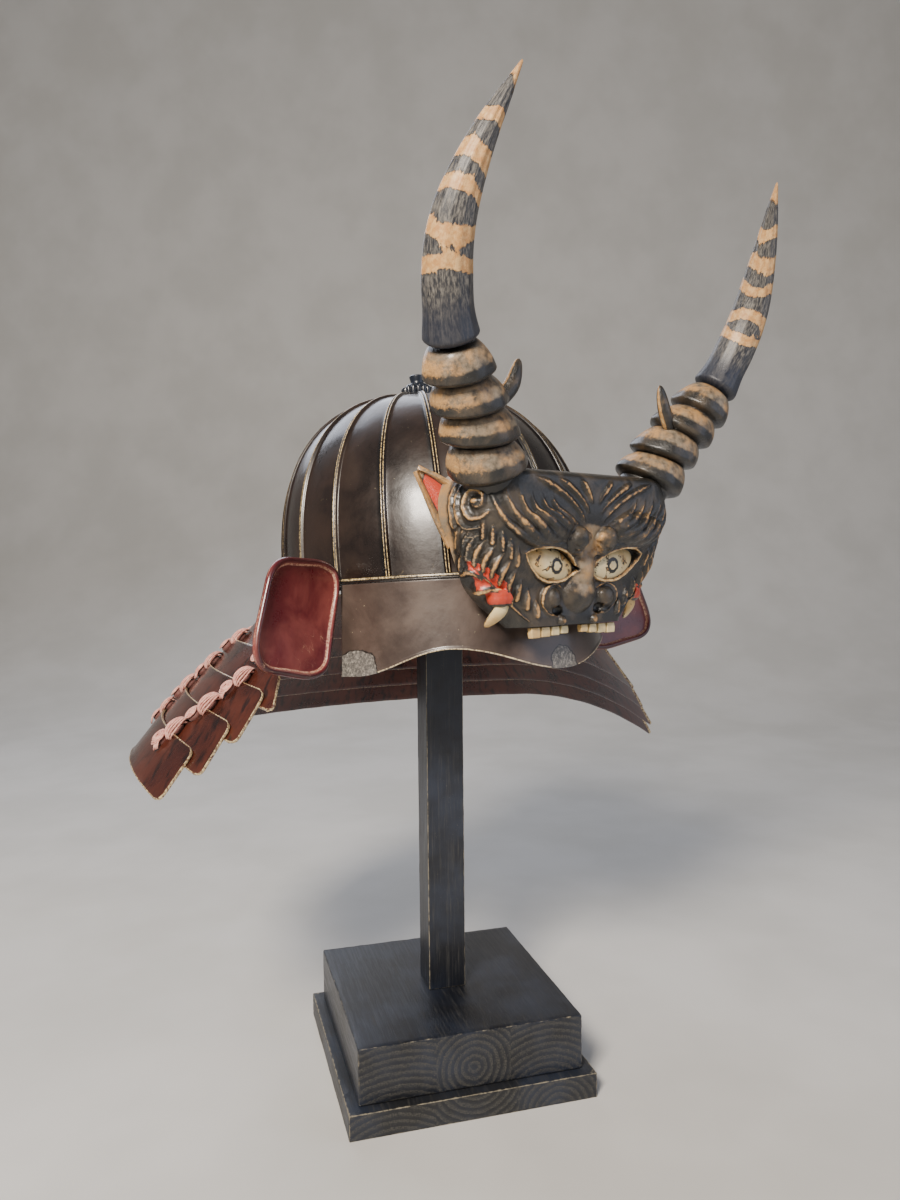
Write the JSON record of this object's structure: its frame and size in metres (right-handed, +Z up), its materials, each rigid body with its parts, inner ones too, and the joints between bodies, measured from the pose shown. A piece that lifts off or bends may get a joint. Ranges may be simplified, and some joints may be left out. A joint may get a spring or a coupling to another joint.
{
  "type": "kabuto samurai helmet on display stand",
  "caption": "Ribbed lacquered iron helmet with a horned beast-head crest, turned-back side plates and a laced neck guard, resting on a square wooden post stand.",
  "frame": {"origin": "middle of the stand foot, on the surface it stands on", "axes": "+Z up, the helmet faces -Y, and its left side is +X"},
  "size_m": [0.4894, 0.4326, 0.6724],
  "materials": {
    "wood": "black stain, satin, worn pale edges",
    "bowl_lacquer": "brown-black lacquer over iron, semi-gloss",
    "visor_lacquer": "brown-grey lacquer over iron, semi-gloss",
    "red_lacquer": "wine-red lacquer, semi-gloss, scratched",
    "lame_lacquer": "red-brown lacquer, worn edges",
    "silk": "faded pink silk braid",
    "carved_lacquer": "black lacquer over carved wood, worn to ochre on high points",
    "horn_lacquer": "grey-black with ochre bands",
    "ivory": "cream paint over carved wood",
    "eye_paint": "cream paint, ring pupils"
  },
  "bodies": {
    "root": {"bowl": "bowl_lacquer", "rim_band": "bowl_lacquer", "finial_base": "bowl_lacquer", "finial_top": "bowl_lacquer", "visor": "visor_lacquer", "side_plate_left": "red_lacquer", "side_plate_right": "red_lacquer", "guard_lame_1": "lame_lacquer", "guard_lame_2": "lame_lacquer", "guard_lame_3": "lame_lacquer", "guard_lame_4": "lame_lacquer", "guard_lame_5": "lame_lacquer", "lacing_1": "silk", "lacing_2": "silk", "lacing_3": "silk", "lacing_4": "silk", "lacing_5": "silk", "lacing_6": "silk", "lacing_7": "silk", "lacing_8": "silk", "crest_head": "carved_lacquer", "eye_left": "eye_paint", "eye_right": "eye_paint", "horn_root_left": "carved_lacquer", "horn_root_right": "carved_lacquer", "horn_left": "horn_lacquer", "horn_right": "horn_lacquer", "horn_nub_left": "carved_lacquer", "horn_nub_right": "carved_lacquer", "ear_left": "carved_lacquer", "ear_right": "carved_lacquer", "fang_left": "ivory", "fang_right": "ivory", "teeth_left": "ivory", "teeth_right": "ivory", "crest_prong": "bowl_lacquer", "stand_plinth": "wood", "stand_block": "wood", "stand_post": "wood", "stand_pad": "wood"}
  },
  "joints": []
}
